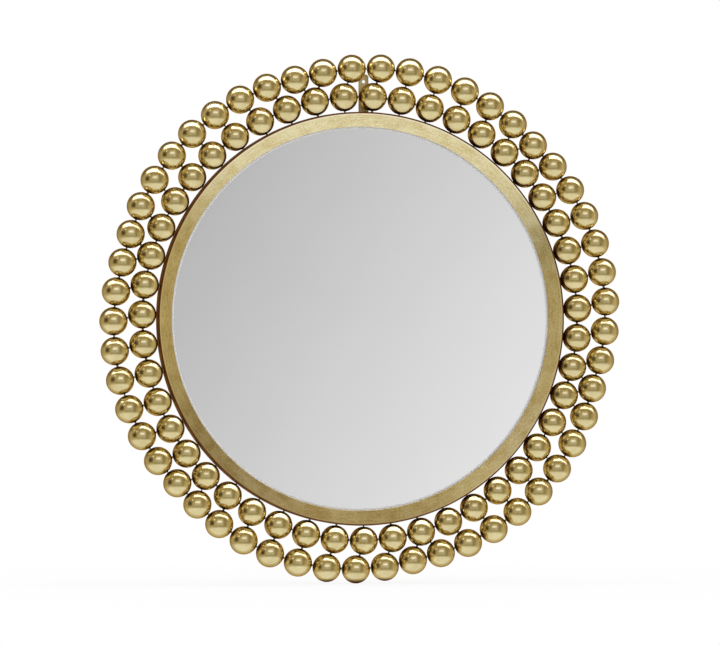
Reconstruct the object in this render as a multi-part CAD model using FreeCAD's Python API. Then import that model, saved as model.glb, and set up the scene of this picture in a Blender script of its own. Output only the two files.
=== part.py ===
import FreeCAD, Part
import math
import os

# Round wall mirror: a bevelled glass in a dished brass frame, ringed by two rows of welded hollow brass balls.
# Lengths are in millimetres. +Z is up, the front looks along -Y, and the wall is on the +Y side.
# The origin is the middle of the mirror, in the plane that holds the centres of all the balls.
# A bearing is an angle in degrees, clockwise from the top as seen from the front.

# Balls
ball_diameter = 38.0
ball_wall = 1.2
vent_diameter = 2.0
inner_ball_count = 47
ball_gap = 1.8  # between neighbours in the inner ring
ring_gap = 1.8  # between an outer ball and the inner ball that it sits against
outer_gap_least = 1.2  # least room between neighbours in the outer ring
inner_start_bearing = 3.2
outer_start_bearing = 4.7
sector_count = 6

# Weld beads
ball_bead_diameter = 4.0
hoop_bead_diameter = 4.4
bridged_gap_most = 2.6
fillet_leg = 1.5

# Frame
hoop_gap = 1.4  # between the inner balls and the hoop
hoop_wall = 1.5
band_width = 20.0
band_sheet = 1.5
dish_depth = 9.5  # how far the band's outer edge stands in front of its sight edge
band_outer_rounding = 1.5
band_sight_rounding = 0.4

# Rebate ring, which holds the glass behind the band
land_setback = 1.0
rebate_wall = 1.5
flange_sheet = 1.5
land_sheet = 0.8
gasket_height = 0.5
gasket_setback = 0.8

# Glass and what backs it
glass_thickness = 3.0
glass_cover = 4.5  # how far the frame hides the edge of the glass
glass_play = 1.0  # radial room round the glass
bevel_width = 7.5
bevel_drop = 1.2
felt_thickness = 0.6
board_thickness = 3.0
block_bearings = (160.0, 200.0)
block_arc = 5.0

# Turn buttons that keep the board in
button_count = 6
button_start_bearing = 30.0
button_width = 10.0
button_lap = 9.75  # how far a button's tip lies over the board
pivot_setback = 5.75  # from the inside of the hoop to the rivets
button_sheet = 1.5
button_play = 0.1
rivet_diameter = 3.8
rivet_hole_clearance = 0.16
rivet_head_diameter = 7.0
rivet_head_height = 1.6
rivet_tail_diameter = 6.0
rivet_tail_height = 1.2
washer_diameter = 8.0
washer_thickness = 0.5

# Hanging tab and wall pads
tab_width = 13.5
tab_sheet = 2.0
tab_offset = 7.7  # to the right of the middle
tab_rise = 30.3  # from the ring of inner ball centres to the tab's top
tab_hole_setback = 9.7
tab_hole_diameter = 4.2
tab_bend_radius = 1.0  # inside the bend that turns the tab forward to its foot
tab_top_rounding = 4.0
tab_bead_inset = 1.8
pad_diameter = 12.0
pad_bearings = (145.0, 215.0)

# Worked out from the values above
ball_radius = ball_diameter / 2
inner_step = 360.0 / inner_ball_count
half_step = math.radians(inner_step / 2)
inner_ring_radius = (ball_diameter + ball_gap) / (2 * math.sin(half_step))
contact_distance = ball_diameter + ring_gap
hoop_outer_radius = inner_ring_radius - ball_radius - hoop_gap
hoop_inner_radius = hoop_outer_radius - hoop_wall
sight_radius = hoop_outer_radius - band_width
band_slope = dish_depth / band_width
band_depth_through = band_sheet * math.hypot(1.0, band_slope)
glass_radius = sight_radius + glass_cover
rebate_inner_radius = glass_radius + glass_play
rebate_outer_radius = rebate_inner_radius + rebate_wall
land_radius = sight_radius + land_setback
land_back = band_depth_through + land_sheet
glass_front = land_back + gasket_height
glass_back = glass_front + glass_thickness
bevel_radius = glass_radius - bevel_width
felt_back = glass_back + felt_thickness
board_back = felt_back + board_thickness
flange_front = board_back - flange_sheet
hoop_back = board_back
pivot_radius = hoop_inner_radius - pivot_setback
button_front = board_back + button_play
button_back = button_front + button_sheet
washer_front = button_back + button_play
washer_back = washer_front + washer_thickness
rivet_radius = rivet_diameter / 2
button_hole_radius = rivet_radius + rivet_hole_clearance / 2
wall_plane = ball_radius + tab_sheet
tab_top_height = inner_ring_radius + tab_rise
tab_hole_height = tab_top_height - tab_hole_setback

CENTRE = FreeCAD.Vector(0, 0, 0)
TO_WALL = FreeCAD.Vector(0, 1, 0)


def polar(radius, bearing, depth=0.0):
    angle = math.radians(bearing)
    return FreeCAD.Vector(radius * math.sin(angle), depth, radius * math.cos(angle))


def turned(shape, bearing):
    copy = shape.copy()
    copy.rotate(CENTRE, TO_WALL, bearing)
    return copy


def moved(shape, place):
    copy = shape.copy()
    copy.translate(place)
    return copy


def outline(corners):
    """A closed wire through (point, rounding) corners, with an arc of that radius at each rounded one."""
    stops = []
    count = len(corners)
    for i, (point, rounding) in enumerate(corners):
        if rounding == 0:
            stops.append((point, None, point))
            continue
        back = (corners[i - 1][0] - point).normalize()
        ahead = (corners[(i + 1) % count][0] - point).normalize()
        half_turn = back.getAngle(ahead) / 2
        run = rounding / math.tan(half_turn)
        middle = (back + ahead).normalize() * (rounding / math.sin(half_turn) - rounding)
        stops.append((point + back * run, point + middle, point + ahead * run))
    edges = []
    for i, (start, middle, end) in enumerate(stops):
        if middle is not None:
            edges.append(Part.Arc(start, middle, end).toShape())
        following = stops[(i + 1) % count][0]
        if end.distanceToPoint(following) > 1e-6:
            edges.append(Part.LineSegment(end, following).toShape())
    return Part.Wire(edges)


def spun(section, sweep=360.0):
    """Spins (radius, depth, rounding) corners about the mirror's axis."""
    corners = [(FreeCAD.Vector(0, depth, radius), rounding) for radius, depth, rounding in section]
    return Part.Face(outline(corners)).revolve(CENTRE, TO_WALL, sweep)


def disc(radius, front, back):
    return Part.makeCylinder(radius, back - front, FreeCAD.Vector(0, front, 0), TO_WALL)


def plate(corners, front, back):
    """Cuts (x, z, rounding) corners from sheet that lies between two depths."""
    points = [(FreeCAD.Vector(x, front, z), rounding) for x, z, rounding in corners]
    return Part.Face(outline(points)).extrude(TO_WALL * (back - front))


# Balls


def inner_bearings():
    return [inner_start_bearing + k * inner_step for k in range(inner_ball_count)]


def outer_ring_radius(bearing):
    """Where an outer ball comes to rest on the nearest ball of the inner ring."""
    past = (bearing - inner_start_bearing) % inner_step
    aside = math.radians(min(past, inner_step - past))
    across = inner_ring_radius * math.sin(aside)
    return inner_ring_radius * math.cos(aside) + math.sqrt(contact_distance**2 - across**2)


def outer_bearings():
    nested_radius = outer_ring_radius(inner_start_bearing + inner_step / 2)
    narrowest = math.asin((ball_diameter + outer_gap_least) / (2 * nested_radius))
    count = int(math.pi / narrowest)
    return [outer_start_bearing + j * 360.0 / count for j in range(count)]


def inner_centres():
    return [polar(inner_ring_radius, bearing) for bearing in inner_bearings()]


def outer_centres():
    return [polar(outer_ring_radius(bearing), bearing) for bearing in outer_bearings()]


def solid_ball(centre):
    return Part.makeSphere(ball_radius, centre)


def hollow_ball():
    """One pressed ball, with the vent hole of its brazing at the back."""
    cavity = Part.makeSphere(ball_radius - ball_wall)
    vent = Part.makeCylinder(vent_diameter / 2, ball_diameter, CENTRE, TO_WALL)
    return Part.makeSphere(ball_radius).cut(cavity).cut(vent)


def ball_sectors(centres, name):
    """Sorts balls into equal sectors by bearing, one node each."""
    ball = hollow_ball()
    sectors = {}
    for centre in centres:
        bearing = math.degrees(math.atan2(centre.x, centre.z)) % 360.0
        number = int(bearing * sector_count / 360.0) + 1
        sectors.setdefault(f"{name}_{number}", []).append(moved(ball, centre))
    return sectors


# Weld beads


def bead_between(one, other):
    """A short neck of weld metal between two balls, ended by their own surfaces."""
    along = other - one
    neck = Part.makeCylinder(ball_bead_diameter / 2, along.Length, one, along)
    return neck.cut(solid_ball(one)).cut(solid_ball(other))


def ring_beads(centres):
    return [bead_between(centres[i - 1], centre) for i, centre in enumerate(centres)]


def cross_beads(inner, outer):
    beads = []
    for outside in outer:
        for inside in inner:
            if outside.distanceToPoint(inside) - ball_diameter < bridged_gap_most:
                beads.append(bead_between(inside, outside))
    return beads


def hoop_beads(inner):
    hoop_core = disc(hoop_outer_radius, -ball_radius, ball_radius)
    beads = []
    for centre in inner:
        neck = Part.makeCylinder(hoop_bead_diameter / 2, ball_diameter, centre, centre * -1)
        beads.append(neck.cut(solid_ball(centre)).cut(hoop_core))
    return beads


# Frame


def band_front(radius):
    return -band_slope * (radius - sight_radius)


def band_back(radius):
    return band_front(radius) + band_depth_through


def face_band():
    """The dished face: it slopes back from the hoop to the sight edge."""
    seat = band_back(hoop_inner_radius)
    return spun(
        [
            (sight_radius, band_front(sight_radius), band_sight_rounding),
            (hoop_outer_radius, band_front(hoop_outer_radius), band_outer_rounding),
            (hoop_outer_radius, seat, 0),
            (hoop_inner_radius, seat, 0),
            (sight_radius, band_back(sight_radius), 0),
        ]
    )


def side_hoop():
    front = band_back(hoop_inner_radius)
    return disc(hoop_outer_radius, front, hoop_back).cut(disc(hoop_inner_radius, front, hoop_back))


def rebate_ring():
    """A bent section: a land for the gasket, a wall round the glass, and a flange for the turn buttons."""
    ring = spun(
        [
            (land_radius, band_back(land_radius), 0),
            (rebate_outer_radius, band_back(rebate_outer_radius), 0),
            (rebate_outer_radius, flange_front, 0),
            (hoop_inner_radius, flange_front, 0),
            (hoop_inner_radius, board_back, 0),
            (rebate_inner_radius, board_back, 0),
            (rebate_inner_radius, land_back, 0),
            (land_radius, land_back, 0),
        ]
    )
    hole = moved(disc(rivet_radius, flange_front, board_back), polar(pivot_radius, 0))
    return ring.cut([turned(hole, bearing) for bearing in button_bearings()])


# Glass and what backs it


def bevel_front(radius):
    return glass_front + bevel_drop * (radius - bevel_radius) / bevel_width


def mirror_glass():
    return spun(
        [
            (0, glass_front, 0),
            (bevel_radius, glass_front, 0),
            (glass_radius, bevel_front(glass_radius), 0),
            (glass_radius, glass_back, 0),
            (0, glass_back, 0),
        ]
    )


def glass_gasket():
    """A soft ring between the land and the bevel of the glass."""
    inner = land_radius + gasket_setback
    return spun(
        [
            (inner, land_back, 0),
            (glass_radius, land_back, 0),
            (glass_radius, bevel_front(glass_radius), 0),
            (inner, bevel_front(inner), 0),
        ]
    )


def setting_blocks():
    """Rubber blocks that carry the lower edge of the glass."""
    block = spun(
        [
            (glass_radius, bevel_front(glass_radius), 0),
            (rebate_inner_radius, bevel_front(glass_radius), 0),
            (rebate_inner_radius, glass_back, 0),
            (glass_radius, glass_back, 0),
        ],
        block_arc,
    )
    return [turned(block, bearing - block_arc / 2) for bearing in block_bearings]


# Turn buttons


def button_bearings():
    return [button_start_bearing + i * 360.0 / button_count for i in range(button_count)]


def turn_button():
    """A round-ended strip on a rivet, drawn at the top with its tip over the board."""
    half = button_width / 2
    top = pivot_radius + half
    tip = glass_radius - button_lap
    strip = plate(
        [(-half, top, half), (half, top, half), (half, tip, half), (-half, tip, half)],
        button_front,
        button_back,
    )
    hole = disc(button_hole_radius, button_front, button_back)
    return strip.cut(moved(hole, polar(pivot_radius, 0)))


def button_rivet():
    head_back = washer_back + rivet_head_height
    tail_front = flange_front - rivet_tail_height
    rivet = spun(
        [
            (0, tail_front, 0),
            (rivet_tail_diameter / 2, tail_front, 0),
            (rivet_tail_diameter / 2, flange_front, 0),
            (rivet_radius, flange_front, 0),
            (rivet_radius, washer_back, 0),
            (rivet_head_diameter / 2, washer_back, 0),
            (rivet_head_diameter / 2, head_back, rivet_head_height * 0.7),
            (0, head_back, 0),
        ]
    )
    return moved(rivet, polar(pivot_radius, 0))


def button_washer():
    ring = disc(washer_diameter / 2, washer_front, washer_back)
    ring = ring.cut(disc(button_hole_radius, washer_front, washer_back))
    return moved(ring, polar(pivot_radius, 0))


# Hanging tab and wall pads


def bent_strip():
    """The tab's side view: a foot that stands on the flange, a bend, and the upright behind the balls."""
    foot_top = hoop_inner_radius
    foot_bottom = hoop_inner_radius - tab_sheet
    outer_bend = tab_bend_radius + tab_sheet
    corners = [
        (hoop_back, foot_bottom, 0),
        (wall_plane, foot_bottom, outer_bend),
        (wall_plane, tab_top_height, 0),
        (ball_radius, tab_top_height, 0),
        (ball_radius, foot_top, tab_bend_radius),
        (hoop_back, foot_top, 0),
    ]
    left = tab_offset - tab_width / 2
    points = [(FreeCAD.Vector(left, depth, height), rounding) for depth, height, rounding in corners]
    return Part.Face(outline(points)).extrude(FreeCAD.Vector(tab_width, 0, 0))


def hanging_tab():
    left = tab_offset - tab_width / 2
    right = tab_offset + tab_width / 2
    foot_bottom = hoop_inner_radius - tab_sheet
    front_view = plate(
        [
            (left, foot_bottom, 0),
            (right, foot_bottom, 0),
            (right, tab_top_height, tab_top_rounding),
            (left, tab_top_height, tab_top_rounding),
        ],
        hoop_back,
        wall_plane,
    )
    hole = disc(tab_hole_diameter / 2, ball_radius, wall_plane)
    hole = moved(hole, FreeCAD.Vector(tab_offset, 0, tab_hole_height))
    return bent_strip().common(front_view).cut(hole)


def tab_fillet(height, away):
    """A three-sided weld in the corner between the flange and one side of the tab's foot."""
    corners = [
        FreeCAD.Vector(0, hoop_back, height),
        FreeCAD.Vector(0, hoop_back, height + away * fillet_leg),
        FreeCAD.Vector(0, hoop_back + fillet_leg, height),
    ]
    section = Part.Face(outline([(corner, 0) for corner in corners]))
    length = tab_width - 2 * fillet_leg
    prism = section.extrude(FreeCAD.Vector(length, 0, 0))
    return moved(prism, FreeCAD.Vector(tab_offset - length / 2, 0, 0))


def tab_welds(inner):
    over = tab_fillet(hoop_inner_radius, 1)
    under = tab_fillet(hoop_inner_radius - tab_sheet, -1)
    edge = FreeCAD.Vector(tab_offset + tab_width / 2 - tab_bead_inset, 0, inner_ring_radius)
    nearest = min(inner, key=edge.distanceToPoint)
    place = FreeCAD.Vector(edge.x, 0, nearest.z)
    bead = moved(disc(ball_bead_diameter / 2, 0, ball_radius), place).cut(solid_ball(nearest))
    return [over, under, bead]


def wall_pads(outer):
    """Rubber pads on the backs of two low balls, as thick as the tab, so that the mirror hangs square."""
    pads = []
    for bearing in pad_bearings:
        wanted = polar(outer_ring_radius(bearing), bearing)
        ball = min(outer, key=wanted.distanceToPoint)
        pads.append(moved(disc(pad_diameter / 2, 0, wall_plane), ball).cut(solid_ball(ball)))
    return pads


def all_nodes():
    inner = inner_centres()
    outer = outer_centres()
    nodes = {
        "face_band": [face_band()],
        "side_hoop": [side_hoop()],
        "rebate_ring": [rebate_ring()],
        "glass_gasket": [glass_gasket()],
        "mirror_glass": [mirror_glass()],
        "setting_blocks": setting_blocks(),
        "backing_felt": [disc(glass_radius, glass_back, felt_back)],
        "backing_board": [disc(glass_radius, felt_back, board_back)],
        "button_rivets": [turned(button_rivet(), bearing) for bearing in button_bearings()],
        "button_washers": [turned(button_washer(), bearing) for bearing in button_bearings()],
        "inner_ring_welds": ring_beads(inner),
        "outer_ring_welds": ring_beads(outer),
        "cross_welds": cross_beads(inner, outer),
        "hoop_welds": hoop_beads(inner),
        "hanging_tab": [hanging_tab()],
        "tab_welds": tab_welds(inner),
        "wall_pads": wall_pads(outer),
    }
    for number, bearing in enumerate(button_bearings(), start=1):
        nodes[f"turn_button_{number}"] = [turned(turn_button(), bearing)]
    nodes.update(ball_sectors(inner, "inner_balls"))
    nodes.update(ball_sectors(outer, "outer_balls"))
    return nodes


os.makedirs("parts", exist_ok=True)
for node, pieces in all_nodes().items():
    solids = [solid for piece in pieces for solid in piece.Solids]
    shape = solids[0] if len(solids) == 1 else Part.makeCompound(solids)
    shape.exportStep(f"parts/{node}.step")
    print(node, len(solids), "solid(s), valid:", shape.isValid(), "volume:", round(shape.Volume, 1))
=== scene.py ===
# %% [markdown]
# # A round mirror in two rings of brass balls
#
# The real thing is a wall mirror. A bevelled glass sits in a dished band of brushed brass, and two rows
# of hollow, polished balls are brazed round the band, the outer row nested on the inner one.
#
# The engineering model comes in first as a fixed frame. Every piece below is drawn in that frame, in
# metres, with +Z up, the glass facing -Y and the wall on the +Y side.

import math

import bmesh
import bpy
from mathutils import Matrix, Vector


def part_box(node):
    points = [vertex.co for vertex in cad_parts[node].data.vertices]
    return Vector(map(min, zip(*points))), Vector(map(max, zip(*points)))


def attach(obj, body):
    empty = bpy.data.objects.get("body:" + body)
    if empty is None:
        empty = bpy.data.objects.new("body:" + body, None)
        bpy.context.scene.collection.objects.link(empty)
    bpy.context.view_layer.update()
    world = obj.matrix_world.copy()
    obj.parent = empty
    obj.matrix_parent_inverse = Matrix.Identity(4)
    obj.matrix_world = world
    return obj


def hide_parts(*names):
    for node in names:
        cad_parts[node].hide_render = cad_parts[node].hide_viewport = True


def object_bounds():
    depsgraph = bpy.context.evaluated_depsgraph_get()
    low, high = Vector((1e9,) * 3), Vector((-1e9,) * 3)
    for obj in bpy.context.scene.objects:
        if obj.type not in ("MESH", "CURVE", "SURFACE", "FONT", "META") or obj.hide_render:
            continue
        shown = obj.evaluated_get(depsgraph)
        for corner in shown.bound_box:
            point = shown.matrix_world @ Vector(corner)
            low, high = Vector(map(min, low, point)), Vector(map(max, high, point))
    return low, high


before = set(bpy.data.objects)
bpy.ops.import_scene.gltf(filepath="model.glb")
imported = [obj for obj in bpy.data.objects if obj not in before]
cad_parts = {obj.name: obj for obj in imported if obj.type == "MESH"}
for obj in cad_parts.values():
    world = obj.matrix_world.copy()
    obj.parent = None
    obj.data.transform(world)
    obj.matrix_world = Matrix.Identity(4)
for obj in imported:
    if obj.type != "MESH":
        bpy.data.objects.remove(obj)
cad_low, cad_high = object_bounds()
scene = bpy.context.scene
MM = 0.001
MM_PER_METRE = 1000.0
print("CAD box, mm:", [round((b - a) * MM_PER_METRE, 1) for a, b in zip(cad_low, cad_high)])

# %% [markdown]
# ## Sizes
#
# Few numbers drive a mirror like this. The balls are a stock size, and how many of them stand round the
# inner ring sets that ring's radius. The hoop, the band and the glass then follow inwards, each by its
# own gap or width. A bearing is an angle clockwise from the top, as seen from the front.

# %% The sizes that drive the rest
BALL_RADIUS = 19.0 * MM
BALL_WALL = 1.2 * MM
VENT_RADIUS = 1.0 * MM
BALL_GAP = 1.8 * MM
INNER_COUNT = 47
OUTER_COUNT = 53
SECTORS = 6
INNER_START = math.radians(3.2)
OUTER_START = math.radians(4.7)
HOOP_GAP = 1.4 * MM
HOOP_WALL = 1.5 * MM
BAND_WIDTH = 20.0 * MM
BAND_SHEET = 1.5 * MM
DISH_DEPTH = 9.5 * MM

inner_step = 2 * math.pi / INNER_COUNT
outer_step = 2 * math.pi / OUTER_COUNT
pitch = 2 * BALL_RADIUS + BALL_GAP
ring_radius = pitch / (2 * math.sin(inner_step / 2))
hoop_radius = ring_radius - BALL_RADIUS - HOOP_GAP
sight_radius = hoop_radius - BAND_WIDTH
hoop_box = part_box("side_hoop")
print("hoop radius, mm:", round(hoop_radius * MM_PER_METRE, 2))
print("and in the frame:", round(hoop_box[1].x * MM_PER_METRE, 2))

# %% [markdown]
# ## Three small helpers
#
# Node trees are easier to read when each node is one line. `add` makes any node, sets its properties and
# joins its inputs, whether the tree shades a surface or builds a mesh. `linear` turns the usual hex
# colours, which are sRGB, into the linear values that shading works in. `per_metre` turns the real size
# of a pattern's grain into the Scale that a texture asks for.


# %% Helpers for nodes and colours
def add(tree, kind, inputs=None, **settings):
    node = tree.nodes.new(kind)
    for name, value in settings.items():
        setattr(node, name, value)
    for key, value in (inputs or {}).items():
        if isinstance(value, bpy.types.Node):
            value = value.outputs[0]
        if isinstance(value, bpy.types.NodeSocket):
            tree.links.new(value, node.inputs[key])
        else:
            node.inputs[key].default_value = value
    return node


def linear(hex_colour):
    channels = [int(hex_colour[i : i + 2], 16) / 255 for i in (1, 3, 5)]
    return [c / 12.92 if c <= 0.04045 else ((c + 0.055) / 1.055) ** 2.4 for c in channels] + [1.0]


def per_metre(size_mm):
    """The Scale of a noise whose features are about this many millimetres across."""
    return MM_PER_METRE / size_mm


print("mid grey, linear:", round(linear("#808080")[0], 3), "- scale of a 2 mm grain:", per_metre(2))


# %% [markdown]
# ## Materials
#
# Each finish starts from the real metal, glass, board or rubber, and from how its surface was made.
# Patterns read Object coordinates, which are metres in the mirror's own frame, so a grain size in
# millimetres stays true wherever the camera goes.


# %% The start of every material
def new_material(name, **shader):
    material = bpy.data.materials.new(name)
    material.use_nodes = True
    tree = material.node_tree
    tree.nodes.clear()
    bsdf = add(tree, "ShaderNodeBsdfPrincipled", {k.replace("_", " "): v for k, v in shader.items()})
    add(tree, "ShaderNodeOutputMaterial", {"Surface": bsdf})
    place = add(tree, "ShaderNodeTexCoord").outputs["Object"]
    return material, tree, bsdf, place


# %% [markdown]
# The balls are pressed brass, polished on a wheel and lacquered. The polish is a satin one, so the room
# shows in them softly, with no hard edges. The wheel leaves a slight wave, age leaves faint smears in the
# lacquer, and a pressed ball has a pinhole here and there. A metal's Specular Tint is its colour at
# grazing angles: a brown one keeps the rims from turning white. Where two balls face each other, the
# colour and the grazing colour are painted dark brown and the surface is made rougher. This is painted
# shade for the shadow that each ball throws on the next. Ambient Occlusion finds those places: it tells
# how much of the view from a point is still open within the given distance.


# %% Polished brass
PINHOLE_SPACING_MM = 13
PINHOLE_RADIUS = 0.055  # as a share of that spacing
PINHOLE_RARITY = 0.80  # the share of places that have no pinhole
SHADE_REACH = 10 * MM
SHADE_BEGINS = 0.76  # the share of the view that is still open
SHADE_FULL = 0.22


def polished_brass():
    material, tree, bsdf, place = new_material("polished_brass", Metallic=1.0, Roughness=0.19)
    patch = add(tree, "ShaderNodeTexNoise", {"Vector": place, "Scale": per_metre(16), "Detail": 3.0})
    tone = add(tree, "ShaderNodeValToRGB", {"Fac": patch})
    for stop, position, shade in zip(tone.color_ramp.elements, (0.30, 0.62), ("#E3D196", "#F2E1A7")):
        stop.position = position
        stop.color = linear(shade)
    cells = add(tree, "ShaderNodeTexVoronoi", {"Vector": place, "Scale": per_metre(PINHOLE_SPACING_MM)})
    away = cells.outputs["Distance"]
    near = add(tree, "ShaderNodeMath", {0: away, 1: PINHOLE_RADIUS}, operation="LESS_THAN")
    chosen = add(tree, "ShaderNodeSeparateColor", {"Color": cells.outputs["Color"]})
    rare = add(tree, "ShaderNodeMath", {0: chosen.outputs[0], 1: PINHOLE_RARITY}, operation="GREATER_THAN")
    pinhole = add(tree, "ShaderNodeMath", {0: near, 1: rare}, operation="MULTIPLY")
    unshaded = add(
        tree, "ShaderNodeMix", {0: pinhole, 6: tone.outputs[0], 7: linear("#2E2411")}, data_type="RGBA"
    )
    # Painted shade: where little of the view is open, between the balls, the colour and grazing colour go
    # dark brown.
    view = add(tree, "ShaderNodeAmbientOcclusion", {"Distance": SHADE_REACH}, samples=8).outputs["AO"]
    painted_shade = add(
        tree, "ShaderNodeMapRange", {"Value": view, "From Min": SHADE_BEGINS, "From Max": SHADE_FULL}
    )
    colour = add(
        tree, "ShaderNodeMix", {0: painted_shade, 6: unshaded.outputs[2], 7: linear("#7A5628")}, data_type="RGBA"
    )
    tree.links.new(colour.outputs[2], bsdf.inputs["Base Color"])
    grazing = add(
        tree, "ShaderNodeMix", {0: painted_shade, 6: linear("#B98F4C"), 7: linear("#4A3013")}, data_type="RGBA"
    )
    tree.links.new(grazing.outputs[2], bsdf.inputs["Specular Tint"])
    smear = add(tree, "ShaderNodeTexNoise", {"Vector": place, "Scale": per_metre(7), "Detail": 4.0})
    rough = add(tree, "ShaderNodeMapRange", {"Value": smear, "To Min": 0.16, "To Max": 0.27})
    dull = add(tree, "ShaderNodeMix", {0: painted_shade, 2: rough, 3: 0.45}, data_type="FLOAT")
    tree.links.new(dull.outputs[0], bsdf.inputs["Roughness"])
    wave = add(tree, "ShaderNodeTexNoise", {"Vector": place, "Scale": per_metre(11), "Detail": 1.0})
    bump = add(tree, "ShaderNodeBump", {"Height": wave, "Strength": 0.12, "Distance": 0.4 * MM})
    tree.links.new(bump.outputs[0], bsdf.inputs["Normal"])
    return material


# %% [markdown]
# The band is brass too, but it was brushed with an abrasive pad while it turned, so fine scratches run
# round the ring. The real ones are about a tenth of a millimetre wide. Here they are drawn about 1 mm
# wide and 14 mm long, which is as fine as the picture can show. Age has dulled the metal in soft brown
# patches. The hoop, the rebate ring and the tab share this finish, each in its own colours.


# %% Brushed brass
SCRATCH_LENGTH = 14 * MM
SMOOTHER_BY = 0.05  # how far the patches fall below the given roughness
ROUGHER_BY = 0.07  # and how far they rise above it


def brushed_brass(name, light, dark, roughness, scratch_mm, bump_strength):
    material, tree, bsdf, place = new_material(name, Metallic=1.0, Roughness=roughness)
    xyz = add(tree, "ShaderNodeSeparateXYZ", {"Vector": place})
    flat = add(tree, "ShaderNodeCombineXYZ", {"X": xyz.outputs["X"], "Z": xyz.outputs["Z"]})
    radius = add(tree, "ShaderNodeVectorMath", {0: flat}, operation="LENGTH").outputs["Value"]
    turn = add(tree, "ShaderNodeVectorMath", {0: flat}, operation="NORMALIZE")
    stretch = sight_radius / SCRATCH_LENGTH
    along = add(tree, "ShaderNodeVectorMath", {0: turn, "Scale": stretch}, operation="SCALE")
    rise = add(tree, "ShaderNodeMath", {0: radius, 1: per_metre(scratch_mm)}, operation="MULTIPLY")
    lift = add(tree, "ShaderNodeCombineXYZ", {"Y": rise})
    where = add(tree, "ShaderNodeVectorMath", {0: along, 1: lift})
    scratches = add(tree, "ShaderNodeTexNoise", {"Vector": where, "Scale": 1.0, "Detail": 5.0})
    speckle = add(tree, "ShaderNodeTexNoise", {"Vector": place, "Scale": per_metre(2.2), "Detail": 3.0})
    patches = add(tree, "ShaderNodeTexNoise", {"Vector": place, "Scale": per_metre(24), "Detail": 5.0})
    age = add(tree, "ShaderNodeMath", {0: scratches, 1: patches})
    age = add(tree, "ShaderNodeMath", {0: age, 1: speckle})
    tone = add(tree, "ShaderNodeMapRange", {"Value": age, "From Min": 1.2, "From Max": 1.8})
    colour = add(tree, "ShaderNodeMix", {0: tone, 6: linear(dark), 7: linear(light)}, data_type="RGBA")
    tree.links.new(colour.outputs[2], bsdf.inputs["Base Color"])
    rough = add(
        tree,
        "ShaderNodeMapRange",
        {"Value": patches, "To Min": roughness - SMOOTHER_BY, "To Max": roughness + ROUGHER_BY},
    )
    tree.links.new(rough.outputs[0], bsdf.inputs["Roughness"])
    bump = add(
        tree, "ShaderNodeBump", {"Height": scratches, "Strength": bump_strength, "Distance": 0.1 * MM}
    )
    tree.links.new(bump.outputs[0], bsdf.inputs["Normal"])
    return material, tree, bsdf, (radius, colour.outputs[2], rough.outputs[0])


# %% [markdown]
# On the band, the rolled lip near the outer edge is painted pale, a painted highlight, and made smoother.
# Just past it, on the side of the round that turns away, the brass is painted brown as painted shade.
# Both zones are rings, so the distance from the mirror's axis tells where each begins. The two numbers of
# a zone are how far inside the hoop it begins and how far inside it is full.


# %% Band brass
LIP_HIGHLIGHT_ZONE = (4.0 * MM, 3.3 * MM)
EDGE_SHADE_ZONE = (2.5 * MM, 1.9 * MM)


def band_brass():
    material, tree, bsdf, (radius, colour, rough) = brushed_brass(
        "brushed_aged_brass", "#FFF3C2", "#DAC381", roughness=0.24, scratch_mm=0.8, bump_strength=0.5
    )
    zones = []
    for begins, full in (LIP_HIGHLIGHT_ZONE, EDGE_SHADE_ZONE):
        reach = {"Value": radius, "From Min": hoop_radius - begins, "From Max": hoop_radius - full}
        zones.append(add(tree, "ShaderNodeMapRange", reach))
    lip, edge = zones
    # A painted highlight on the lip, then painted shade in brown on the outer round.
    lip_painted_highlight = add(tree, "ShaderNodeMix", {0: lip, 6: colour, 7: linear("#FFF3C8")}, data_type="RGBA")
    painted_lip_and_edge = add(
        tree, "ShaderNodeMix", {0: edge, 6: lip_painted_highlight.outputs[2], 7: linear("#7C4A20")}, data_type="RGBA"
    )
    tree.links.new(painted_lip_and_edge.outputs[2], bsdf.inputs["Base Color"])
    rubbed = add(tree, "ShaderNodeMix", {0: lip, 2: rough, 3: 0.17}, data_type="FLOAT")
    tree.links.new(rubbed.outputs[0], bsdf.inputs["Roughness"])
    return material


# %% [markdown]
# The hoop behind the band is the band's brass painted dark, and its grazing colour stays brown. This is
# painted shade for where it sits, between the band and the balls.


# %% Brass painted dark, as painted shade
def brass_painted_dark():
    # Painted shade: darker colours and a browner grazing colour than the band's brass.
    material, _, bsdf, _ = brushed_brass(
        "brass_painted_dark", "#BE9C5C", "#866A38", roughness=0.34, scratch_mm=1.2, bump_strength=0.4
    )
    bsdf.inputs["Specular Tint"].default_value = linear("#94763F")
    return material


# %% [markdown]
# Braze metal is melted brass rod. It cools with a dull, slightly pitted skin, so it is rougher than the
# balls and a little redder.


# %% Braze metal
def braze_metal():
    material, tree, bsdf, place = new_material("braze_metal", Metallic=1.0, Roughness=0.32)
    pits = add(tree, "ShaderNodeTexNoise", {"Vector": place, "Scale": per_metre(0.9), "Detail": 3.0})
    tone = add(
        tree, "ShaderNodeMix", {0: pits, 6: linear("#A07F42"), 7: linear("#DCC07C")}, data_type="RGBA"
    )
    tree.links.new(tone.outputs[2], bsdf.inputs["Base Color"])
    bump = add(tree, "ShaderNodeBump", {"Height": pits, "Strength": 0.35, "Distance": 0.2 * MM})
    tree.links.new(bump.outputs[0], bsdf.inputs["Normal"])
    return material


# %% [markdown]
# Mirror glass is float glass, silvered behind. Seen from the front it acts as one smooth metal surface
# with a faint green cast from the glass. Cloth marks leave it a touch rougher in wide, faint patches. The
# bevel is ground, and its fine haze scatters more light than it mirrors, so most of it acts as a white,
# matt surface. It also glows faintly bluish, though it is no lamp. This painted highlight keeps its thin
# line bright.


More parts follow.
